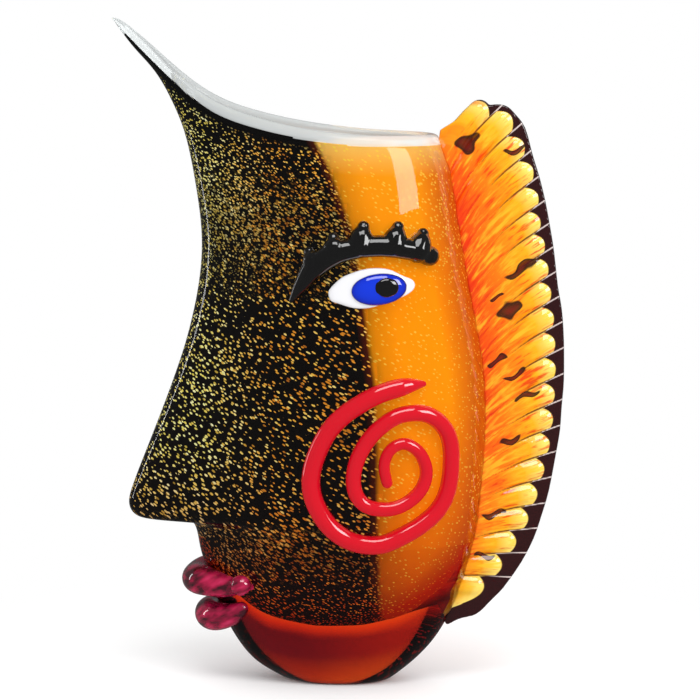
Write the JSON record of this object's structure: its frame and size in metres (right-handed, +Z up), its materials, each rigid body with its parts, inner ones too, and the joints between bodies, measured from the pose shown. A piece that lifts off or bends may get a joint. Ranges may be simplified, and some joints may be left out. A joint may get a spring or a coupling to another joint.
{
  "type": "face vase",
  "caption": "Tall flattened blown-glass vase shaped as a face in profile, with a drawn-out spout, a ribbed comb of hair and hot glass features on both cheeks.",
  "frame": {"origin": "centre of the ground foot, on the surface that the vase stands on", "axes": "+Z up; the face looks toward -X; its left side is toward -Y, and the vase is symmetric about the XZ plane"},
  "size_m": [0.3059, 0.1472, 0.45],
  "materials": {
    "clear_casing": "fire-polished clear glass",
    "amber_base": "transparent red-amber glass",
    "leaf_front": "black glass with crackled gold leaf",
    "leaf_back": "amber glass with crackled gold leaf",
    "amber_comb": "streaky amber glass",
    "lip_glass": "deep raspberry glass",
    "eye_white": "glossy white glass",
    "iris_blue": "glossy blue glass",
    "pupil_black": "glossy black glass",
    "brow_black": "glossy black glass",
    "spiral_red": "glossy red glass"
  },
  "bodies": {
    "root": {"clear_casing": "clear_casing", "amber_base": "amber_base", "leaf_front": "leaf_front", "leaf_back": "leaf_back", "lip_wrap": "clear_casing", "hair_comb": "amber_comb", "upper_lip": "lip_glass", "lower_lip": "lip_glass", "left_eye_white": "eye_white", "left_iris": "iris_blue", "left_pupil": "pupil_black", "left_eyebrow": "brow_black", "left_cheek_spiral": "spiral_red", "right_eye_white": "eye_white", "right_iris": "iris_blue", "right_pupil": "pupil_black", "right_eyebrow": "brow_black", "right_cheek_spiral": "spiral_red"}
  },
  "joints": []
}
